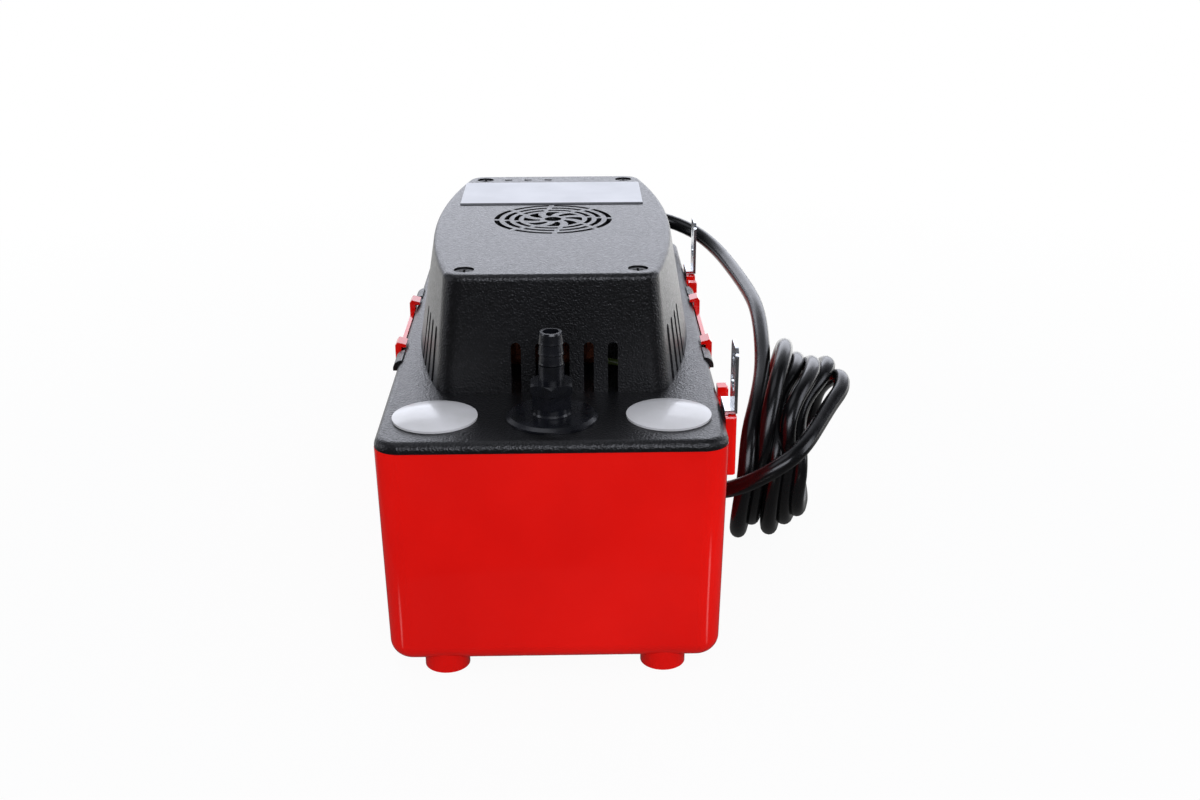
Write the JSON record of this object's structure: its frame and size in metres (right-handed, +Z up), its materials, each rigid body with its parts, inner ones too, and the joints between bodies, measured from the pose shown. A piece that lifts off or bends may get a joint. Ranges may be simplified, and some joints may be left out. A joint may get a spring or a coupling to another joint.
{
  "type": "condensate pump",
  "caption": "Tank-type condensate removal pump: drafted reservoir, lid with vented motor cover, float switch, bayonet check valve with hose barb, plugged inlets and a coiled power cord.",
  "frame": {"origin": "on the floor under the middle of the tank, where its four feet stand", "axes": "+X to the right, +Y from the discharge end to the rear, +Z up"},
  "size_m": [0.1957, 0.3047, 0.1412],
  "materials": {
    "red_plastic": "gloss",
    "black_abs": "pebble grain",
    "black_screws": "black oxide",
    "white_plastic": "gloss",
    "zinc_steel": "bright zinc plating",
    "black_nylon": "gloss",
    "stainless": "polished",
    "rubber": "satin",
    "grey_plastic": "satin",
    "silicon_steel": "laminated",
    "copper": "enamelled wire",
    "bronze": "satin",
    "float_foam": "closed cell",
    "switch_plastic": "satin",
    "lead_insulation": "satin",
    "cord_jacket": "satin"
  },
  "bodies": {
    "housing": {"tank": "red_plastic", "lid": "black_abs", "motor_cover": "black_abs", "cover_screws": "black_screws", "discharge_tube": "grey_plastic", "pump_column": "grey_plastic", "volute": "grey_plastic", "volute_cover": "grey_plastic", "pump_screws": "stainless", "stator_core": "silicon_steel", "shading_rings": "copper", "bobbin": "white_plastic", "coil_winding": "copper", "lower_bracket": "zinc_steel", "upper_bracket": "zinc_steel", "shaft_bushings": "bronze", "motor_bolts": "zinc_steel", "motor_nuts": "zinc_steel", "switch_bracket": "zinc_steel", "bracket_screws": "zinc_steel", "lever_pin": "stainless", "pump_switch": "switch_plastic", "safety_switch": "switch_plastic", "switch_terminals": "bronze", "motor_leads": "lead_insulation", "cord_gland": "rubber", "cord_lead": "cord_jacket", "cord_hank": "cord_jacket", "cord_tail": "cord_jacket", "plug_body": "cord_jacket", "plug_blades": "bronze"},
    "spindle": {"motor_shaft": "stainless", "rotor_core": "silicon_steel", "cooling_fan": "black_nylon", "impeller": "white_plastic"},
    "float_set": {"float": "float_foam", "float_rod": "stainless", "rod_clips": "white_plastic"},
    "lever": {"switch_lever": "zinc_steel"},
    "plungers": {"switch_plungers": "white_plastic"},
    "check_valve": {"valve_body": "black_nylon", "valve_barb": "black_nylon", "valve_seal": "rubber", "valve_spring": "stainless"},
    "ball": {"valve_ball": "stainless"},
    "left_plug": {"inlet_plug_left": "white_plastic"},
    "right_plug": {"inlet_plug_right": "white_plastic"},
    "front_hanger": {"hanger_front": "zinc_steel"},
    "rear_hanger": {"hanger_rear": "zinc_steel"}
  },
  "joints": [
    {"name": "motor_spin", "type": "hinge", "parent": "housing", "child": "spindle", "pos_m": [0, 0, 0.115], "axis": [0, 0, 1], "continuous": true},
    {"name": "float_lift", "type": "slide", "parent": "housing", "child": "float_set", "axis": [0, 0, 1], "range_m": [0, 0.012]},
    {"name": "lever_tilt", "type": "hinge", "parent": "housing", "child": "lever", "pos_m": [0, 0.038, 0.116], "axis": [1, 0, 0], "range_deg": [0, 26.5]},
    {"name": "plunger_press", "type": "slide", "parent": "housing", "child": "plungers", "axis": [0, 0, -1], "range_m": [0, 0.0021]},
    {"name": "valve_twist", "type": "hinge", "parent": "housing", "child": "check_valve", "pos_m": [0, -0.115, 0.095], "axis": [0, 0, 1], "range_deg": [0, 45]},
    {"name": "ball_lift", "type": "slide", "parent": "check_valve", "child": "ball", "axis": [0, 0, 1], "range_m": [0, 0.003], "stiffness_N_per_m": 60, "springref_m": -0.001, "deforming": ["valve_spring"]},
    {"name": "left_plug_pull", "type": "slide", "parent": "housing", "child": "left_plug", "axis": [0, 0, 1], "range_m": [0, 0.015]},
    {"name": "right_plug_pull", "type": "slide", "parent": "housing", "child": "right_plug", "axis": [0, 0, 1], "range_m": [0, 0.015]},
    {"name": "front_hanger_lift", "type": "slide", "parent": "housing", "child": "front_hanger", "axis": [0, 0, 1], "range_m": [0, 0.018]},
    {"name": "rear_hanger_lift", "type": "slide", "parent": "housing", "child": "rear_hanger", "axis": [0, 0, 1], "range_m": [0, 0.018]}
  ],
  "couplings": [
    {"joint": "lever_tilt", "follows": "float_lift", "rad_per_m": 38},
    {"joint": "plunger_press", "follows": "float_lift", "ratio": 0.17}
  ]
}
